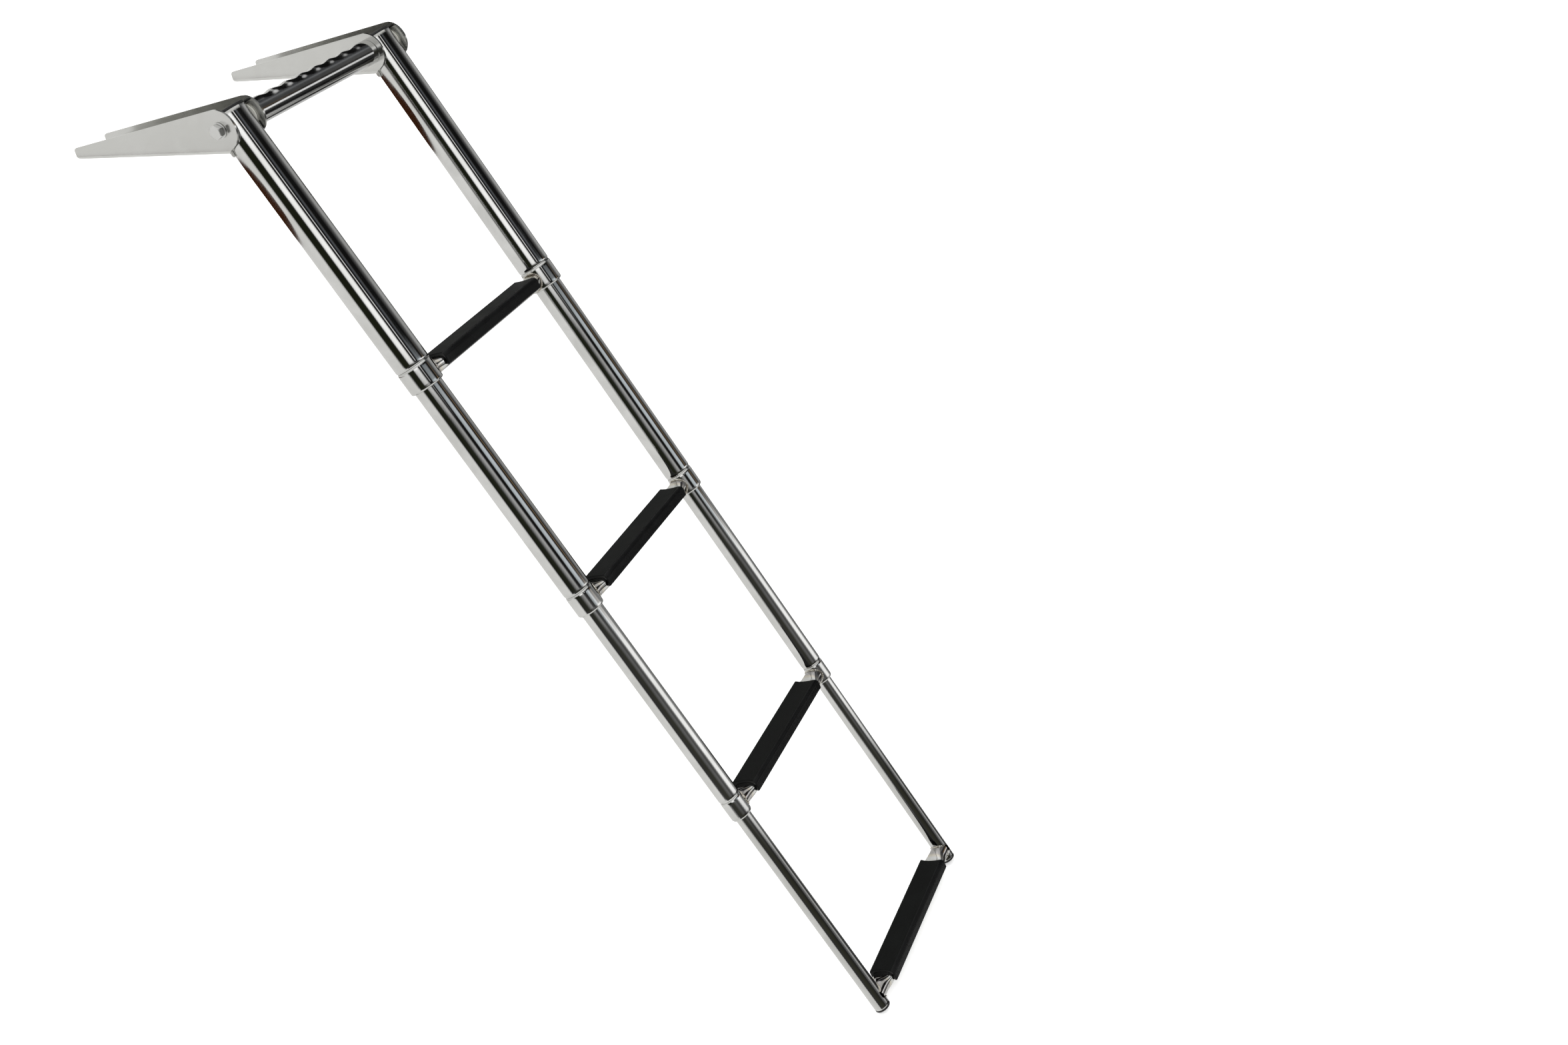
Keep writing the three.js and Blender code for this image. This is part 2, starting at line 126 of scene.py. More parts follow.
# The swinging frame: Z up the rails, X outboard of them.
SWING = Matrix.Translation((0, 0, PIVOT_Z)) @ Matrix.Rotation(-LEAN, 4, "Y")
RUNG_TILT = Matrix.Rotation(TILT, 3, "Y")


def section(index, side=0, height=0):
    """The frame of a section's rung, at one rail if side is -1 or 1."""
    return SWING @ Matrix.Translation((0, side * SPACING / 2, height - FIRST_RUNG - PITCH * index))


# ---- shader nodes ----
def nodes_of(name):
    mat = bpy.data.materials.new(name)
    mat.use_nodes = True
    tree = mat.node_tree
    return mat, tree, tree.nodes["Principled BSDF"]


def add(tree, kind, inputs=None, **settings):
    node = tree.nodes.new(kind)
    for key, value in settings.items():
        setattr(node, key, value)
    for key, value in (inputs or {}).items():
        if isinstance(value, bpy.types.NodeSocket):
            tree.links.new(value, node.inputs[key])
        else:
            node.inputs[key].default_value = value
    return node


def grain_coords(tree, turn, stretch):
    """Object coordinates turned so that Z runs along the piece and stretched, then the plain ones."""
    coords = add(tree, "ShaderNodeTexCoord").outputs["Object"]
    upright = add(tree, "ShaderNodeMapping", {"Vector": coords, "Rotation": turn}, vector_type="POINT")
    stretched = add(tree, "ShaderNodeMapping", {"Vector": upright.outputs[0], "Scale": stretch})
    return stretched.outputs[0], coords


def noise(tree, vector, scale, detail=3, rough=0.5, distortion=0.0):
    inputs = {"Vector": vector, "Scale": scale, "Detail": detail,
              "Roughness": rough, "Distortion": distortion}
    return add(tree, "ShaderNodeTexNoise", inputs).outputs["Fac"]


def spread(tree, value, low, high, from_low=0.3, from_high=0.7, clamp=True):
    inputs = {"Value": value, "From Min": from_low, "From Max": from_high, "To Min": low, "To Max": high}
    return add(tree, "ShaderNodeMapRange", inputs, clamp=clamp).outputs["Result"]


def ramp(tree, value, stops, mode="EASE"):
    node = add(tree, "ShaderNodeValToRGB", {"Fac": value})
    node.color_ramp.interpolation = mode
    points = node.color_ramp.elements
    while len(points) > 1:
        points.remove(points[-1])
    points[0].position, points[0].color = stops[0][0], (*stops[0][1], 1)
    for place, colour in stops[1:]:
        points.new(place).color = (*colour, 1)
    return node.outputs["Color"]


def math_node(tree, operation, a, b=0.0):
    return add(tree, "ShaderNodeMath", {0: a, 1: b}, operation=operation).outputs[0]


def bump(tree, height, strength, distance, normal=None):
    inputs = {"Height": height, "Strength": strength, "Distance": distance}
    if normal is not None:
        inputs["Normal"] = normal
    return add(tree, "ShaderNodeBump", inputs).outputs["Normal"]


# ---- materials ----
def heat_tint(tree, coords, colour):
    """Straw and grey oxide towards a rung's welded ends."""
    y = add(tree, "ShaderNodeSeparateXYZ", {"Vector": coords}).outputs["Y"]
    near_end = spread(tree, math_node(tree, "ABSOLUTE", y), 0, 1, 98.5 * MM, 104 * MM)
    straw, brown, grey = (0.98, 0.93, 0.84), (0.86, 0.80, 0.74), (0.72, 0.70, 0.70)
    heat = ramp(tree, near_end, [(0.0, (1, 1, 1)), (0.5, straw), (0.8, brown), (1.0, grey)])
    inputs = {0: 1.0, 6: colour, 7: heat}
    return add(tree, "ShaderNodeMix", inputs, data_type="RGBA", blend_type="MULTIPLY").outputs[2]


def polished(name, turn, shine, streaks=0.12, low=(0.60, 0.60, 0.585), high=(0.70, 0.70, 0.69),
             tint_at_ends=False):
    """Mirror-polished stainless: streaks along the grain, hand smudges, a faint waviness."""
    mat, tree, shader = nodes_of(name)
    grain, coords = grain_coords(tree, turn, (1, 1, 0.02))
    fine = noise(tree, grain, 2600, 2, 0.6)
    smudge = noise(tree, coords, 22, 4, 0.62, 0.4)
    specks = noise(tree, coords, 900, 2, 0.5)
    wave = noise(tree, grain_coords(tree, turn, (1, 1, 0.12))[0], 48, 1, 0.3)
    colour = ramp(tree, smudge, [(0.3, low), (0.72, high)])
    if tint_at_ends:
        colour = heat_tint(tree, coords, colour)
    tree.links.new(colour, shader.inputs["Base Color"])
    shader.inputs["Metallic"].default_value = 1
    rough = math_node(tree, "ADD", spread(tree, smudge, *shine), spread(tree, fine, -0.012, 0.03))
    tree.links.new(rough, shader.inputs["Roughness"])
    normal = bump(tree, fine, streaks, 0.01 * MM)
    normal = bump(tree, wave, 0.25, 0.2 * MM, normal)
    normal = bump(tree, specks, 0.03, 0.02 * MM, normal)
    tree.links.new(normal, shader.inputs["Normal"])
    return mat


def plastic(name, dark, light, rough, grain, gloss=0.45):
    """Moulded PVC or nylon: fine grain, faint dust and rubbed patches."""
    mat, tree, shader = nodes_of(name)
    coords = add(tree, "ShaderNodeTexCoord").outputs["Object"]
    patches = noise(tree, coords, 30, 4, 0.6)
    pitted = noise(tree, coords, 3200, 2, 0.6)
    dust = noise(tree, coords, 420, 4, 0.7)
    shares = [math_node(tree, "MULTIPLY", part, share) for part, share in ((patches, 0.7), (dust, 0.3))]
    tone = ramp(tree, math_node(tree, "ADD", *shares), [(0.35, dark), (0.68, light)])
    tree.links.new(tone, shader.inputs["Base Color"])
    tree.links.new(spread(tree, patches, rough - 0.06, rough + 0.08), shader.inputs["Roughness"])
    shader.inputs["Specular IOR Level"].default_value = gloss
    normal = bump(tree, pitted, grain, 0.06 * MM)
    normal = bump(tree, dust, 0.03, 0.1 * MM, normal)
    tree.links.new(normal, shader.inputs["Normal"])
    return mat


def bead_metal(name):
    """A weld bead: bright ripples with straw and grey oxide between them."""
    mat, tree, shader = nodes_of(name)
    coords = add(tree, "ShaderNodeTexCoord").outputs["Object"]
    blotch = noise(tree, coords, 260, 4, 0.65)
    oxide, straw, bright = (0.22, 0.19, 0.16), (0.62, 0.58, 0.50), (0.74, 0.74, 0.73)
    tone = ramp(tree, blotch, [(0.36, oxide), (0.5, straw), (0.62, bright)])
    tree.links.new(tone, shader.inputs["Base Color"])
    shader.inputs["Metallic"].default_value = 1
    tree.links.new(spread(tree, blotch, 0.34, 0.12), shader.inputs["Roughness"])
    tree.links.new(bump(tree, noise(tree, coords, 1500, 3, 0.6), 0.3, 0.08 * MM), shader.inputs["Normal"])
    return mat


ALONG_RAIL = (0, LEAN, 0)
ALONG_Y = (rad(90), 0, 0)
ALONG_X = (0, rad(90), 0)
STEEL_RAIL = polished("steel_rails", ALONG_RAIL, (0.02, 0.07), 0.05)
STEEL_BAR = polished("steel_grab_bar", ALONG_Y, (0.05, 0.12), 0.4, (0.56, 0.56, 0.56), (0.68, 0.68, 0.67))
STEEL_RUNG = polished("steel_rungs", ALONG_Y, (0.03, 0.09), tint_at_ends=True)
STEEL_SHEET = polished("steel_brackets", ALONG_X, (0.13, 0.21), 0.15,
                       (0.63, 0.63, 0.61), (0.69, 0.69, 0.675))
STEEL_BOLT = polished("steel_bolts", ALONG_Y, (0.28, 0.40), 0.2, (0.66, 0.66, 0.65), (0.78, 0.78, 0.77))
BEAD = bead_metal("weld_beads")
TREAD_TOP = plastic("tread_top", (0.0022, 0.0025, 0.0023), (0.0046, 0.0052, 0.0049), 0.6, 0.3, 0.09)
TREAD_NOSE = plastic("tread_nose", (0.0010, 0.0012, 0.0013), (0.0022, 0.0025, 0.0027), 0.25, 0.1, 0.2)
BLACK = plastic("black_fittings", (0.006, 0.006, 0.006), (0.014, 0.014, 0.014), 0.42, 0.2)
NYLON = plastic("nylon_washers", (0.62, 0.61, 0.56), (0.72, 0.71, 0.66), 0.45, 0.1)


# ---- mesh making ----
def make(name, verts, faces, materials, matrix=None, sharp=32, indices=None):
    """A mesh object in metres from millimetre points, with outward normals."""
    mesh = bpy.data.meshes.new(name)
    place = Matrix.Scale(MM, 4) @ (matrix or Matrix.Identity(4))
    mesh.from_pydata([tuple(v) for v in verts], [], faces)
    mesh.transform(place)
    for material in materials if isinstance(materials, (list, tuple)) else [materials]:
        mesh.materials.append(material)
    if indices is not None:
        mesh.polygons.foreach_set("material_index", indices)
    shell = bmesh.new()
    shell.from_mesh(mesh)
    bmesh.ops.remove_doubles(shell, verts=shell.verts, dist=1e-7)
    bmesh.ops.recalc_face_normals(shell, faces=shell.faces)
    shell.to_mesh(mesh)
    shell.free()
    mesh.shade_smooth()
    mesh.set_sharp_from_angle(angle=rad(sharp))
    obj = bpy.data.objects.new(name, mesh)
    bpy.context.scene.collection.objects.link(obj)
    return obj


def skin(rings, loop=False, cap=True):
    """Vertices and faces of a skin over rings of points, rings closed round."""
    rings = np.asarray(rings, float)
    count, around = rings.shape[:2]
    verts = rings.reshape(-1, 3)
    faces = []
    for i in range(count if loop else count - 1):
        low, high = i * around, ((i + 1) % count) * around
        for j in range(around):
            k = (j + 1) % around
            faces.append((low + j, low + k, high + k, high + j))
    if cap and not loop:
        faces.append(tuple(range(around))[::-1])
        faces.append(tuple((count - 1) * around + j for j in range(around)))
    return verts, faces


def turn_angles(count):
    return np.arange(count) * 2 * math.pi / count


def circle_rings(profile, around):
    return [[(r * math.cos(a), r * math.sin(a), h) for a in turn_angles(around)] for r, h in profile]


def turned(name, profile, material, matrix, around=96):
    """A profile of (radius, height) turned about Z; closed on itself if it stays off the axis."""
    off_axis = 0.2
    hollow = profile[0][0] > off_axis and profile[-1][0] > off_axis
    verts, faces = skin(circle_rings(profile, around), loop=hollow)
    return make(name, verts, faces, material, matrix)


def arc(cx, cy, r, start, end, steps):
    angles = np.linspace(rad(start), rad(end), steps + 1)
    return [(cx + r * math.cos(a), cy + r * math.sin(a)) for a in angles]


def straight(start, end, count):
    """Evenly spaced points of a line, both ends included."""
    return list(zip(*(np.linspace(a, b, count) for a, b in zip(start, end))))


def ring_profile(outer, inner, low, high, edge=0.3, steps=4):
    """A ring's cross-section with rounded edges."""
    return [*arc(outer - edge, low + edge, edge, -90, 0, steps),
            *arc(outer - edge, high - edge, edge, 0, 90, steps),
            *arc(inner + edge, high - edge, edge, 90, 180, steps),
            *arc(inner + edge, low + edge, edge, 180, 270, steps)]


def finish_piece(obj, body, slot, *nodes):
    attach(obj, body)
    if nodes:
        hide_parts(*nodes)


# ---- rails ----
def groove(radius, steps=24):
    """A rolled groove in a rail's outline: two round shoulders that meet in a narrow bottom."""
    half = GROOVE_HALF + 0.6
    quarter = math.pi / 2
    places = half * np.sin(np.linspace(-quarter, quarter, steps + 1) ** 3 / quarter ** 2)
    drop = lambda p: GROOVE_DEPTH * (1 - math.sqrt(1 - (1 - abs(p) / half) ** 2))
    return [(radius - drop(p), GROOVE_AT + p) for p in places]


def rolled_rail(index):
    """The section of a rail with a rolled groove and a rolled-in lip."""
    outer = RADII[index]
    inner = outer - WALL
    lip = RADII[index + 1] + LIP_GAP
    top = FIRST_RUNG + RAIL_TOP - PLUG_HEAD - GAP if index == 0 else INNER_TOP
    edge = 0.25
    return [(lip, COLLAR_END + 0.4), (lip + 0.3, COLLAR_END + 0.05), (lip + 0.6, COLLAR_END),
            *arc(outer - LIP_ROUND, COLLAR_END + LIP_ROUND, LIP_ROUND, -90, 0, 12),
            (outer, COLLAR_END + 5), (outer, GROOVE_AT - 5), *groove(outer),
            *straight((outer, GROOVE_AT + 6), (outer, top - 4), 8),
            *arc(outer - edge, top - edge, edge, 0, 90, 3), (inner, top), *groove(inner)[::-1],
            (inner, COLLAR_END + LIP_ROUND + WALL), (lip, COLLAR_END + WALL)]


def plain_rail(radius):
    low, high, edge = PLUG_HEAD + GAP - FOOT, INNER_TOP, 0.3
    return [*arc(radius - edge, low + edge, edge, -90, 0, 3),
            *straight((radius, low + 4), (radius, high - 4), 8),
            *arc(radius - edge, high - edge, edge, 0, 90, 3), (radius - WALL, high), (radius - WALL, low)]


for index, radius in enumerate(RADII):
    number = index + 1
    body = f"section_{number}"
    for side, sign in SIDES.items():
        at = section(index, sign)
        profile = plain_rail(radius) if index == LAST else rolled_rail(index)
        tube = turned(f"rail_{number}_{side}_tube", profile, STEEL_RAIL, at, FULL_ROUND)
        finish_piece(tube, body, "polished_steel", f"rail_{number}_{side}")
        if index < LAST:
            low, high = COLLAR_END + LIP_ROUND + WALL + GAP, GROOVE_AT - GROOVE_HALF - GAP
            bush = ring_profile(radius - WALL - GAP, RADII[index + 1] + GAP, low, high)
            ring = turned(f"guide_bush_{number}_{side}_ring", bush, BLACK, at, SMALL_ROUND)
            finish_piece(ring, body, "black_plastic", f"guide_bush_{number}_{side}")
        if index > 0:
            stop = ring_profile(RADII[index - 1] - WALL - GAP, radius + GAP, STOP_LOW, INNER_TOP)
            ring = turned(f"stop_ring_{number}_{side}_ring", stop, BLACK, at, SMALL_ROUND)
            finish_piece(ring, body, "black_plastic", f"stop_ring_{number}_{side}")


# ---- plugs and pivot sleeves at the rail ends ----
def plug_profile(radius):
    """A skirt inside the tube, and a head on its end with a round edge."""
    skirt, low, face = radius - WALL - GAP, -PLUG_HEAD - PLUG_SKIRT, -0.05
    return [(0.01, low), (skirt - 0.4, low), (skirt, low + 0.4), (skirt, -PLUG_HEAD),
            (radius - 0.2, -PLUG_HEAD), (radius, -PLUG_HEAD + 0.2),
            *arc(radius - PLUG_ROUND, face - PLUG_ROUND, PLUG_ROUND, 0, 80, 6),
            *[(radius * share, face) for share in (0.85, 0.6, 0.3, 0.01)]]


for side, sign in SIDES.items():
    rail_end = section(0, sign, FIRST_RUNG + RAIL_TOP)
    cap = turned(f"rail_plug_{side}_head", plug_profile(RADII[0]), BLACK, rail_end)
    finish_piece(cap, "section_1", "black_plastic", f"rail_plug_{side}")
    upside_down = section(LAST, sign, -FOOT) @ Matrix.Rotation(math.pi, 4, "X")
    foot = turned(f"end_cap_{side}_foot", plug_profile(RADII[LAST]), BLACK, upside_down)
    finish_piece(foot, "section_4", "black_plastic", f"end_cap_{side}")
    sleeve = ring_profile(SLEEVE_R, BOLT_R + GAP, -RADII[0] + GAP / 2, RADII[0] - GAP / 2)
    along_y = section(0, sign, FIRST_RUNG) @ Matrix.Rotation(rad(-90), 4, "X")
    tube = turned(f"pivot_sleeve_{side}_tube", sleeve, STEEL_BOLT, along_y, 48)
    finish_piece(tube, "section_1", "bolt_steel", f"pivot_sleeve_{side}")


# ---- rungs ----
def power(value, exponent):
    return math.copysign(abs(value) ** exponent, value)


def pressed_point(angle, grow=0.0):
    """A point of a rung's pressed middle: flat on top, rounder below."""
    c, s = math.cos(angle), math.sin(angle)
    z = (PRESSED_TOP + grow) * power(s, 0.45) if s > 0 else (PRESSED_BOTTOM + grow) * power(s, 0.9)
    return (PRESSED_HALF + grow) * power(c, 0.6), z


def rung_point(angle, share):
    """A point of a rung that is round where share is 0 and pressed where it is 1."""
    x, z = pressed_point(angle)
    round_share = (1 - share) * RUNG_R
    return round_share * math.cos(angle) + share * x, round_share * math.sin(angle) + share * z


def even_angles(count):
    """Angles that give evenly spaced points round a partly pressed section."""
    fine = np.linspace(0, 2 * math.pi, 4001)
    points = np.array([rung_point(a, 0.75) for a in fine])
    length = np.concatenate([[0], np.cumsum(np.linalg.norm(np.diff(points, axis=0), axis=1))])
    return np.interp(np.arange(count) / count * length[-1], length, fine)


RUNG_ANGLES = even_angles(112)
PRESSED_END = TREAD_L / 2 - 2


def rung_ring(radius, place):
    """A ring of a rung; place runs from -1 to 1 along the pressed part, and to -2 and 2 at the rails."""
    ring = []
    for angle in RUNG_ANGLES:
        if abs(place) <= 1:
            x, z = rung_point(angle, 1)
            y = place * PRESSED_END
        else:
            round_x = (RUNG_TILT @ Vector((RUNG_R * math.cos(angle), 0, RUNG_R * math.sin(angle)))).x
            end = SPACING / 2 - math.sqrt(max(radius ** 2 - round_x ** 2, 0)) + RUNG_SINK
            y = PRESSED_END + (abs(place) - 1) * (end - PRESSED_END)
            share = max(0.0, 1 - (y - PRESSED_END) / RUNG_BLEND)
            x, z = rung_point(angle, share * share * (3 - 2 * share))
            y = math.copysign(y, place)
        p = RUNG_TILT @ Vector((x, y, z))
        ring.append((p.x, y, p.z))
    return ring


def rung_surface(radius):
    """Rings of a rung from rail to rail; its ends follow the rails' round sides."""
    ends = np.linspace(0, 1, 15)
    places = [*(-1 - ends[::-1]), *np.linspace(-1, 1, 9)[1:-1], *(1 + ends)]
    return [rung_ring(radius, place) for place in places]


def weld_bead(section_index, sign):
    """A rippled bead round the joint of a rung and a rail."""
    radius, rings = RADII[section_index], []
    steps, around = 220, 10
    for i in range(steps):
        a = 2 * math.pi * i / steps
        x, z = RUNG_R * math.cos(a), RUNG_R * math.sin(a)
        y = SPACING / 2 - math.sqrt(max(radius ** 2 - x ** 2, 0.0))
        ripple = 1 + 0.16 * math.cos(34 * a) + 0.08 * math.sin(5 * a + section_index + sign)
        size = BEAD_R * ripple
        out = Vector((math.cos(a), 0, math.sin(a)))
        rail_normal = Vector((x / radius, -math.sqrt(max(1 - (x / radius) ** 2, 0.0)), 0))
        ring = []
        for j in range(around):
            b = 2 * math.pi * j / around
            p = Vector((x, y, z)) + (out * math.cos(b) + rail_normal * math.sin(b)) * size
            ring.append((p.x, sign * p.y, p.z))
        rings.append(ring)
    return skin(rings, loop=True)


# ---- treads ----
def furrow(along, start, pitch, width):
    """The depth share of evenly spaced furrows between a tread's ribs."""
    return math.exp(-((((along - start) / pitch) % 1 - 0.5) / width) ** 2)


def tread_sections(count=460):
    """Matching points of a tread's outer and inner outlines, from the nose's lower edge to the back's."""
    top, back, edge = PRESSED_TOP + GAP + COVER, -TREAD_BACK, LOWER_EDGE
    nose_low, back_low = edge - NOSE_DROP, edge - BACK_DROP
    nose = [*arc(TREAD_FRONT - edge, nose_low, edge, -90, 0, 6),
            *straight((TREAD_FRONT, nose_low + 0.3), (TREAD_FRONT, top - NOSE_ROUND - 0.4), 8),
            *arc(TREAD_FRONT - NOSE_ROUND, top - NOSE_ROUND, NOSE_ROUND, 0, 90, 16)]
    flat = straight((TREAD_FRONT - NOSE_ROUND - 0.5, top), (back + BACK_ROUND + 0.4, top), 30)
    hook = [*arc(back + BACK_ROUND, top - BACK_ROUND, BACK_ROUND, 92, 180, 12),
            *straight((back, top - BACK_ROUND - 0.4), (back, back_low + 0.3), 8),
            *arc(back + edge, back_low, edge, 180, 270, 6)]
    outline = np.array([*nose, *flat, *hook])
    length = np.concatenate([[0], np.cumsum(np.linalg.norm(np.diff(outline, axis=0), axis=1))])
    nose_end, top_end = length[len(nose)], length[len(nose) + len(flat)]

    fine = np.linspace(0, length[-1], count)
    path = np.stack([np.interp(fine, length, outline[:, i]) for i in (0, 1)], axis=1)
    tangent = np.gradient(path, axis=0)
    tangent /= np.linalg.norm(tangent, axis=1)[:, None]
    normal = np.stack([tangent[:, 1], -tangent[:, 0]], axis=1)
    depth = np.zeros(count)
    for i, along in enumerate(fine):
        if edge < along < nose_end - 0.6:
            depth[i] = NOSE_RIB_DEPTH * furrow(along, edge, NOSE_RIB_PITCH, 0.16)
        elif nose_end + 0.8 < along < top_end - 0.5:
            depth[i] = TOP_RIB_DEPTH * furrow(along, nose_end, TOP_RIB_PITCH, 0.2)
    path = path - normal * depth[:, None]
    inner = np.array([pressed_point(a, GAP) for a in np.linspace(GRIP_FROM, GRIP_TO, count)])
    on_top = (fine > nose_end - 1.5) & (fine < top_end + 4)
    return path, inner, on_top


def tread_ring(outer, inner, share, inset, reach):
    """A ring of a tread at a share of its half length, drawn in and reaching out where its end rounds."""
    hollow = lambda x: TREAD_HOLLOW - math.sqrt(TREAD_HOLLOW ** 2 - min(abs(x), TREAD_FRONT) ** 2)
    deepest = hollow(TREAD_FRONT)
    centre = (outer + inner) / 2
    drawn_in = []
    for point, middle in zip(outer, centre):
        towards = middle - point
        size = np.linalg.norm(towards)
        drawn_in.append(point + towards / size * min(inset, size * 0.9) if inset else point)
    ring = []
    for curve, moved in ((outer, drawn_in), (inner[::-1], inner[::-1])):
        for point, (x, z) in zip(curve, moved):
            half = TREAD_L / 2 - (deepest - hollow(point[0])) - TREAD_END_ROUND
            p = RUNG_TILT @ Vector((x, 0, z))
            ring.append((p.x, share * (half + reach), p.z))
    return ring


def tread_mesh():
    """A tread's vertices, faces and material numbers."""
    outer, inner, on_top = tread_sections()
    rounding = [(TREAD_END_ROUND * (1 - math.cos(rad(a))), TREAD_END_ROUND * math.sin(rad(a)))
                for a in (0, 22.5, 45, 67.5, 90)]
    plan = [*[(-1, *step) for step in rounding[::-1]],
            *[(share, 0, 0) for share in (-0.85, -0.5, 0, 0.5, 0.85)],
            *[(1, *step) for step in rounding]]
    rings = [tread_ring(outer, inner, *station) for station in plan]
    verts, faces = skin(rings, cap=False)
    count = len(outer)
    around = 2 * count
    kinds = [0 if j < count and on_top[j] else 1 for _ in rings[1:] for j in range(around)]
    for base in (0, (len(rings) - 1) * around):
        for k in range(count - 1):
            faces.append((base + k, base + k + 1, base + around - 2 - k, base + around - 1 - k))
            kinds.append(1)
    return verts, faces, kinds


TREAD = tread_mesh()
for index, radius in enumerate(RADII):
    number = index + 1
    body = f"section_{number}"
    verts, faces = skin(rung_surface(radius), cap=False)
    rung = make(f"rung_{number}_tube", verts, faces, STEEL_RUNG, section(index), 60)
    finish_piece(rung, body, "polished_steel", f"rung_{number}")
    for side, sign in SIDES.items():
        verts, faces = weld_bead(index, sign)
        bead = make(f"weld_{number}_{side}", verts, faces, BEAD, section(index), 60)
        finish_piece(bead, body, "polished_steel")
    verts, faces, kinds = TREAD
    cover = make(f"tread_{number}_cover", verts, faces, [TREAD_TOP, TREAD_NOSE], section(index), 40, kinds)
    finish_piece(cover, body, "black_plastic", f"tread_{number}")


# ---- grab bar ----
def crimp_depth(angle, along):
    """How far the bar's surface is pressed in by its row of finger crimps."""
    nearest = CRIMP_PITCH * round(along / CRIMP_PITCH)
    if abs(nearest) > CRIMP_PITCH * (CRIMPS - 1) / 2 + 1:
        return 0.0
    facing = max(0.0, math.cos(angle - CRIMP_FACING))
    away = min(abs(along - nearest) / (CRIMP_PITCH / 2), 1.0)
    return CRIMP_DEPTH * facing ** 0.7 * (0.5 + 0.5 * math.cos(math.pi * away)) ** 0.85


def grab_bar(around=96, edge=0.3):
    half, inner = SPACING / 2 - OUTER_FACE - GAP, BAR_R - BAR_WALL

    def ring(y, depth=lambda angle: 0.0, radius=BAR_R):
        return [((radius - depth(a)) * math.cos(a), y, (radius - depth(a)) * math.sin(a))
                for a in turn_angles(around)]

    outside = [ring(y, lambda a: crimp_depth(a, y)) for y in np.linspace(-half + edge, half - edge, 420)]
    low_end = [ring(-half, radius=inner), ring(-half, radius=BAR_R - edge)]
    high_end = [ring(half, radius=BAR_R - edge), ring(half, radius=inner)]
    verts, faces = skin([*low_end, *outside, *high_end], loop=True)
    return make("grab_bar_tube", verts, faces, STEEL_BAR, Matrix.Translation((0, 0, PIVOT_Z)), 50)


finish_piece(grab_bar(), "brackets", "polished_steel", "grab_bar")


# ---- pivot bolts ----
def hex_head(around=144, seat_edge=0.35, rim_edge=0.12):
    """A hexagonal head with a chamfered face; Z runs outwards from its seat."""
    corner = lambda a: HEX_FLATS / 2 / math.cos((a + math.pi / 6) % (math.pi / 3) - math.pi / 6)
    chamfer = HEX_FLATS / 2 * 0.93
    drop = lambda a: (corner(a) - chamfer) * math.tan(rad(30))

    def rim(inset, height):
        return [((corner(a) - inset) * math.cos(a), (corner(a) - inset) * math.sin(a), height(a))
                for a in turn_angles(around)]

    face = [(chamfer, HEX_HEIGHT), (chamfer * 0.8, HEX_HEIGHT + 0.02),
            (chamfer * 0.35, HEX_HEIGHT - 0.05), (0.05, HEX_HEIGHT - 0.1)]
    return skin([rim(seat_edge, lambda a: 0.0), rim(0.0, lambda a: seat_edge),
                 rim(0.0, lambda a: HEX_HEIGHT - drop(a) - rim_edge),
                 rim(rim_edge, lambda a: HEX_HEIGHT - drop(a)), *circle_rings(face, around)])


for side, sign in SIDES.items():
    out = Matrix.Translation((0, sign * SPACING / 2, PIVOT_Z)) @ Matrix.Rotation(rad(-90) * sign, 4, "X")
    seat, end, in_head = OUTER_FACE + WASHER_T + 2 * GAP, -OUTER_FACE - BOLT_REACH, 0.5
    verts, faces = hex_head()
    at_seat = out @ Matrix.Translation((0, 0, seat))
    head = make(f"pivot_bolt_{side}_head", verts, faces, STEEL_BOLT, at_seat, 28)
    finish_piece(head, "brackets", "bolt_steel", f"pivot_bolt_{side}")
    shank = [(0.01, end), (BOLT_R - BOLT_EDGE, end), (BOLT_R, end + BOLT_EDGE), (BOLT_R, seat - in_head),
             (BOLT_R, seat + in_head), (0.01, seat + in_head)]
    rod = turned(f"pivot_bolt_{side}_shank", shank, STEEL_BOLT, out, 48)
    finish_piece(rod, "brackets", "bolt_steel")
    low = OUTER_FACE + GAP
    washer = ring_profile(WASHER_R, BOLT_R + GAP, low, low + WASHER_T, 0.35)
    ring = turned(f"bolt_washer_{side}_ring", washer, STEEL_BOLT, out)
    finish_piece(ring, "brackets", "bolt_steel", f"bolt_washer_{side}")
    for place, way in (("outer", 1), ("inner", -1)):
        mid = way * (INNER_FACE + RADII[0]) / 2
        spacer = ring_profile(SPACER_R, BOLT_R + GAP, mid - SPACER_T / 2, mid + SPACER_T / 2, 0.2)
        disc = turned(f"spacer_{side}_{place}_disc", spacer, NYLON, out, SMALL_ROUND)
        finish_piece(disc, "brackets", "nylon", f"spacer_{side}_{place}")
    high = -OUTER_FACE - GAP
    insert = ring_profile(BAR_R - BAR_WALL - GAP, BOLT_R + GAP, high - INSERT, high, 0.4)
    plug = turned(f"grab_bar_insert_{side}_plug", insert, STEEL_BOLT, out, SMALL_ROUND)
    finish_piece(plug, "brackets", "bolt_steel", f"grab_bar_insert_{side}")


# ---- brackets ----
def solid(points_faces, matrix=None):
    return make("tool", *points_faces, STEEL_SHEET, matrix)


def prism(points, low, high, place):
    """A prism over an outline; place maps (a, b, along) to x, y, z."""
    return solid(skin([[place(a, b, along) for a, b in points] for along in (low, high)]))


def cylinder(radius, low, high, matrix, around=SMALL_ROUND):
    return solid(skin(circle_rings([(radius, low), (radius, high)], around)), matrix)


def finished_mesh(obj):
    """The object's mesh with its modifiers carried out."""
    bpy.context.view_layer.update()
    evaluated = obj.evaluated_get(bpy.context.evaluated_depsgraph_get())
    return bpy.data.meshes.new_from_object(evaluated)


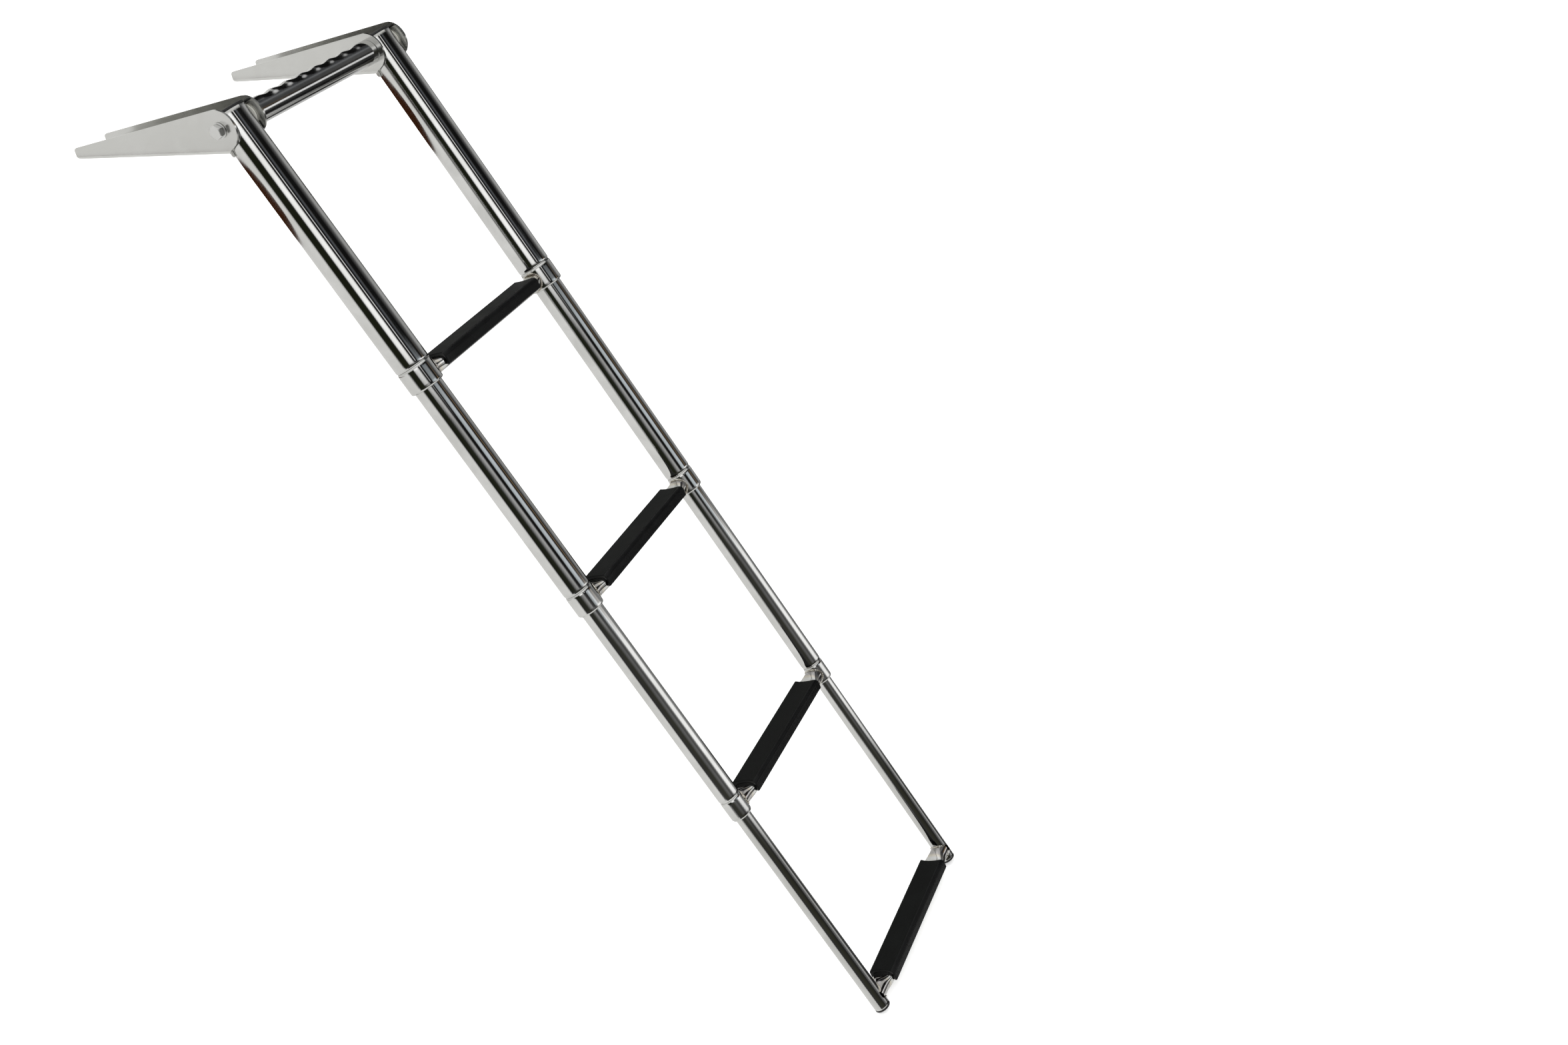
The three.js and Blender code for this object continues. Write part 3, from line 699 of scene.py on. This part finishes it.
def boolean(target, tool, operation):
    mod = target.modifiers.new("cut", "BOOLEAN")
    mod.object, mod.operation, mod.solver = tool, operation, "EXACT"
    mesh = finished_mesh(target)
    target.modifiers.clear()
    target.data = mesh
    bpy.data.objects.remove(tool)


def folded_channel():
    """A bracket's channel of folded sheet, cut to the outline of its sides."""
    half, top, inner, past = OUTER_FACE, PIVOT_Z + EYE + 1, BEND - SHEET, 1
    flat = half - BEND
    channel = [(-half, top), *arc(-flat, BEND, BEND, 180, 270, 12), *arc(flat, BEND, BEND, 270, 360, 12),
               (half, top), (half - SHEET, top), *arc(flat, BEND, inner, 360, 270, 10),
               *arc(-flat, BEND, inner, 270, 180, 10), (-half + SHEET, top)]
    body = prism(channel, -REACH - past, EYE + past, lambda y, z, x: (x, y, z))
    to_tip = Vector((-REACH, TIP_HEIGHT - PIVOT_Z))
    taper = math.degrees(math.atan2(to_tip.y, to_tip.x) - math.acos(EYE / to_tip.length)) % 360
    tip = -REACH + TIP_ROUND
    outline = [*arc(tip, TIP_HEIGHT - TIP_ROUND, TIP_ROUND, 90, 180, 8),
               *arc(tip, TIP_ROUND, TIP_ROUND, 180, 270, 8), (0, 0),
               *arc(0, PIVOT_Z, EYE, EYE_LOWEST, taper, 48)]
    boolean(body, prism(outline, -half - past, half + past, lambda x, z, y: (x, y, z)), "INTERSECT")
    return body


def saddle():
    """The half-round lip that the lowered rail rests against."""
    inner = RADII[0] + GAP
    outer, overlap = inner + SHEET, 1
    shell = [(outer, -LONG_TOOL), (outer, 0), (inner - overlap, 0), (inner - overlap, -LONG_TOOL)]
    lip = solid(skin(circle_rings(shell, FULL_ROUND), loop=True), SWING)
    back, side = -outer - 10 + SADDLE_NOSE, OUTER_FACE - SHEET / 2
    box = [(back, -side), (SADDLE_NOSE, -side), (SADDLE_NOSE, side), (back, side)]
    boolean(lip, prism(box, -SADDLE_DROP, SHEET, lambda x, y, z: (x, y, z)), "INTERSECT")
    return lip


def round_edges(body):
    shell = bmesh.new()
    shell.from_mesh(body.data)
    bmesh.ops.remove_doubles(shell, verts=shell.verts, dist=2e-6)
    bmesh.ops.dissolve_limit(shell, angle_limit=rad(0.5), verts=shell.verts, edges=shell.edges)
    shell.to_mesh(body.data)
    shell.free()
    edge = body.modifiers.new("edge", "BEVEL")
    edge.width, edge.segments, edge.limit_method, edge.angle_limit = BRACKET_EDGE * MM, 3, "ANGLE", rad(40)
    edge.harden_normals = True
    body.data.shade_smooth()
    body.data.set_sharp_from_angle(angle=rad(30))
    body.data = finished_mesh(body)
    body.modifiers.clear()


def add_bracket(side, sign):
    body = folded_channel()
    boolean(body, saddle(), "UNION")
    boolean(body, cylinder(RADII[0] + GAP, -LONG_TOOL, LONG_TOOL / 2, SWING, FULL_ROUND), "DIFFERENCE")
    for from_tip in SCREW_FROM_TIP:
        over_hole = Matrix.Translation((from_tip - REACH, 0, 0))
        boolean(body, cylinder(SCREW_HOLE / 2, -OVERRUN, 2 * OVERRUN, over_hole), "DIFFERENCE")
    across = Matrix.Translation((0, 0, PIVOT_Z)) @ Matrix.Rotation(rad(-90), 4, "X")
    boolean(body, cylinder(BOLT_R + GAP, -OUTER_FACE - OVERRUN, OUTER_FACE + OVERRUN, across), "DIFFERENCE")
    body.name = f"bracket_{side}_channel"
    body.data.transform(Matrix.Translation((0, sign * SPACING / 2 * MM, 0)))
    round_edges(body)
    finish_piece(body, "brackets", "polished_steel", f"bracket_{side}")


for side, sign in SIDES.items():
    add_bracket(side, sign)


# ---- studio ----
def quad(name, size, z):
    mesh = bpy.data.meshes.new(name)
    corners = [(-size, -size, z), (size, -size, z), (size, size, z), (-size, size, z)]
    mesh.from_pydata(corners, [], [(0, 1, 2, 3)])
    obj = bpy.data.objects.new(name, mesh)
    bpy.context.scene.collection.objects.link(obj)
    return obj


def floor_material():
    mat, tree, shader = nodes_of("floor_paper")
    coords = add(tree, "ShaderNodeTexCoord").outputs["Object"]
    tone = ramp(tree, noise(tree, coords, 3), [(0.3, (0.84, 0.84, 0.835)), (0.7, (0.88, 0.88, 0.875))])
    tree.links.new(tone, shader.inputs["Base Color"])
    shader.inputs["Roughness"].default_value = 0.9
    shader.inputs["Specular IOR Level"].default_value = 0.1
    shader.inputs["Emission Color"].default_value = (1, 1, 1, 1)
    shader.inputs["Emission Strength"].default_value = 0.42
    return mat


def dome_material():
    mat, tree, shader = nodes_of("backdrop_paper")
    tree.nodes.remove(shader)
    glow = add(tree, "ShaderNodeEmission", {"Color": (1, 1, 1, 1), "Strength": 1.0})
    tree.links.new(glow.outputs[0], tree.nodes["Material Output"].inputs["Surface"])
    return mat


floor = quad("floor", 14, CAD_BOX[0].z - 0.001)
floor.data.materials.append(floor_material())
DOME = [(13000, -3000), (13000, 6000), (12000, 9000), (8000, 12000), (1000, 13500)]
dome = make("backdrop", *skin(circle_rings(DOME, 64)), dome_material())
every_ray = ["glossy", "diffuse", "shadow", "transmission", "volume_scatter"]
for obj, rays in ((floor, ["glossy"]), (dome, every_ray)):
    for ray in rays:
        setattr(obj, "visible_" + ray, False)
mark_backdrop(floor, dome)


def studio_world():
    """Soft boxes and dark flags round the ladder, laid out about the axis of its rails."""
    world = bpy.data.worlds.new("studio")
    bpy.context.scene.world = world
    world.use_nodes = True
    tree = world.node_tree
    back = tree.nodes["Background"]
    way = add(tree, "ShaderNodeTexCoord").outputs["Generated"]

    def towards(vector):
        node = add(tree, "ShaderNodeVectorMath", {0: way, 1: vector}, operation="DOT_PRODUCT")
        return node.outputs["Value"]

    def rise(value, low, high):
        return spread(tree, value, 0, 1, low, high)

    def fall(value, low, high):
        return spread(tree, value, 1, 0, low, high)

    def times(a, b):
        return math_node(tree, "MULTIPLY", a, b)

    def squared(value, zero, one):
        away = spread(tree, value, 0, 1, zero, one, clamp=False)
        return math_node(tree, "POWER", math_node(tree, "ABSOLUTE", away), 2)

    def mix(share, under, over):
        over = (over, over, over, 1) if isinstance(over, (int, float)) else over
        return add(tree, "ShaderNodeMix", {0: share, 6: under, 7: over}, data_type="RGBA").outputs[2]

    down = towards((math.sin(LEAN), 0, -math.cos(LEAN)))
    out = towards((math.cos(LEAN), 0, math.sin(LEAN)))
    right, outboard, above = towards((0, 1, 0)), towards((1, 0, 0)), towards((0, 0, 1))
    turn = math_node(tree, "ARCTAN2", right, out)
    place = math_node(tree, "ADD", math_node(tree, "DIVIDE", turn, 2 * math.pi), 0.5)

    def bands(stops):
        """Tones or colours by degrees about the rails: 0 is outboard, 90 right, 180 inboard."""
        coloured = [((a + 180) / 360, (v, v, v) if isinstance(v, (int, float)) else v) for a, v in stops]
        return ramp(tree, place, coloured, "LINEAR")

    # The lower a section is, the further down it reflects, so each has bands of its own.
    grey, pale, warm = (0.86, 0.855, 0.84), (0.9, 0.9, 0.885), (0.78, 0.78, 0.76)
    olive, brown = (0.014, 0.016, 0.009), (0.34, 0.22, 0.11)
    inboard = [(98, 0.5), (102, 0.03), (112, 0.02), (117, 0.55), (140, warm), (180, grey)]
    upper = bands([
        (-180, grey), (-109, pale), (-102, 0.5), (-98, olive), (-68, olive), (-62, 0.03), (-58, 0.8),
        (-53, 1.25), (-38, 1.35), (-31, 1.0), (-27, 0.02), (-18.5, 0.008), (-17, 0.9), (-14, 0.9),
        (-12.5, 0.006), (-5, 0.01), (0, (0.09, 0.10, 0.12)), (6, 0.09), (12, 0.008), (34, 0.008),
        (44, 0.05), (56, 0.14), (70, 0.4), *inboard])
    lower = bands([
        (-180, grey), (-104, pale), (-97, 0.5), (-93, 0.03), (-86, olive), (-62, (0.022, 0.024, 0.016)),
        (-55, 0.10), (-46, 0.3), (-33, 0.5), (-28, 0.3), (-22, 0.012), (-9, 0.006), (-5, 0.05),
        (0, (0.5, 0.55, 0.58)), (20, (0.72, 0.78, 0.84)), (26, 0.3), (31, 0.012), (40, 0.012),
        (42, brown), (44, brown), (46, 0.02), (57, 0.06), (70, 0.25), *inboard])
    third = bands([
        (-180, grey), (-104, pale), (-97, 0.5), (-92, 0.04), (-50, (0.045, 0.045, 0.035)), (-40, 0.1),
        (-26, 0.16), (-8, 0.08), (4, 0.2), (12, 0.8), (18, 1.25), (48, 1.25), (57, 0.6), (66, 0.35),
        (80, 0.18), (94, 0.14), *inboard])
    foot = bands([
        (-180, grey), (-92, warm), (-85, 0.5), (-80, 0.045), (-40, (0.04, 0.04, 0.028)), (0, 0.022),
        (5, 0.12), (20, 0.14), (26, 0.35), (40, 0.45), (48, 0.3), (55, 0.03), (76, 0.03), (88, 0.3),
        *inboard])
    sides = mix(rise(down, 0.065, 0.115), upper, lower)
    sides = mix(rise(down, 0.235, 0.285), sides, third)
    sides = mix(rise(down, 0.385, 0.43), sides, foot)

    # A warm dark patch inboard, square to the rails, and a dark line on the right over the ground.
    about = math_node(tree, "ARCTAN2", times(right, -1), times(out, -1))
    off_centre = math_node(tree, "ADD", squared(about, rad(-5), rad(52)), squared(down, -0.045, -0.015))
    sides = mix(fall(off_centre, 0.88, 1.02), sides, (0.045, 0.015, 0.006, 1))
    sides = mix(times(rise(down, 0.575, 0.59), rise(turn, 0.3, 0.5)), sides, 0.008)

    # Above: pale, but far to the right streaked outboard and black over the platform.
    streaks = ramp(tree, outboard, [
        (0.0, (0.045, 0.046, 0.05)), (0.24, (0.06, 0.062, 0.066)), (0.40, (0.17, 0.175, 0.18)),
        (0.50, (0.09, 0.092, 0.096)), (0.64, (0.05, 0.05, 0.052))])
    streaked = times(rise(outboard, -0.03, 0.06), rise(right, 0.63, 0.68))
    roof = mix(streaked, (0.74, 0.74, 0.72, 1), streaks)
    far_off = times(rise(right, 0.60, 0.63), rise(outboard, -0.62, -0.59))
    roof = mix(times(far_off, fall(outboard, 0.0, 0.12)), roof, 0.006)
    roof = mix(rise(above, 0.70, 0.76), roof, 0.85)
    sides = mix(fall(down, -0.25, -0.13), sides, roof)

    # A soft box overhead, and pale ground.
    sides = mix(rise(above, 0.86, 0.93), sides, 1.1)
    sides = mix(rise(down, 0.66, 0.72), sides, (0.88, 0.88, 0.86, 1))
    tree.links.new(sides, back.inputs["Color"])
    back.inputs["Strength"].default_value = 1.0


studio_world()


def sun(name, way, strength, spread_deg):
    light = bpy.data.lights.new(name, "SUN")
    light.energy, light.angle = strength, rad(spread_deg)
    obj = bpy.data.objects.new(name, light)
    obj.rotation_mode = "QUATERNION"
    obj.rotation_quaternion = Vector(way).to_track_quat("-Z", "Y")
    obj.visible_glossy = False
    bpy.context.scene.collection.objects.link(obj)


sun("key_softbox", (-0.35, 0.45, -1), 1.5, 60)
sun("fill_softbox", (0.7, 0.2, -0.8), 0.6, 80)

# ---- camera ----
CAMERA_AT = (1.1484, -1.3056, 0.4008)  # in metres
CAMERA_TURN = Euler((rad(61.749), rad(9.626), rad(22.720)))
camera_data = bpy.data.cameras.new("camera")
camera = bpy.data.objects.new("camera", camera_data)
bpy.context.scene.collection.objects.link(camera)
camera_data.sensor_width = 36
camera_data.lens = 37.4
camera_data.shift_x, camera_data.shift_y = 0.0, -0.05
camera.matrix_world = Matrix.Translation(CAMERA_AT) @ CAMERA_TURN.to_matrix().to_4x4()
bpy.context.scene.camera = camera
bpy.context.scene.view_settings.view_transform = "Standard"

visual_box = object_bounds()
{"cad": [list(corner) for corner in CAD_BOX], "visual": [list(corner) for corner in visual_box]}
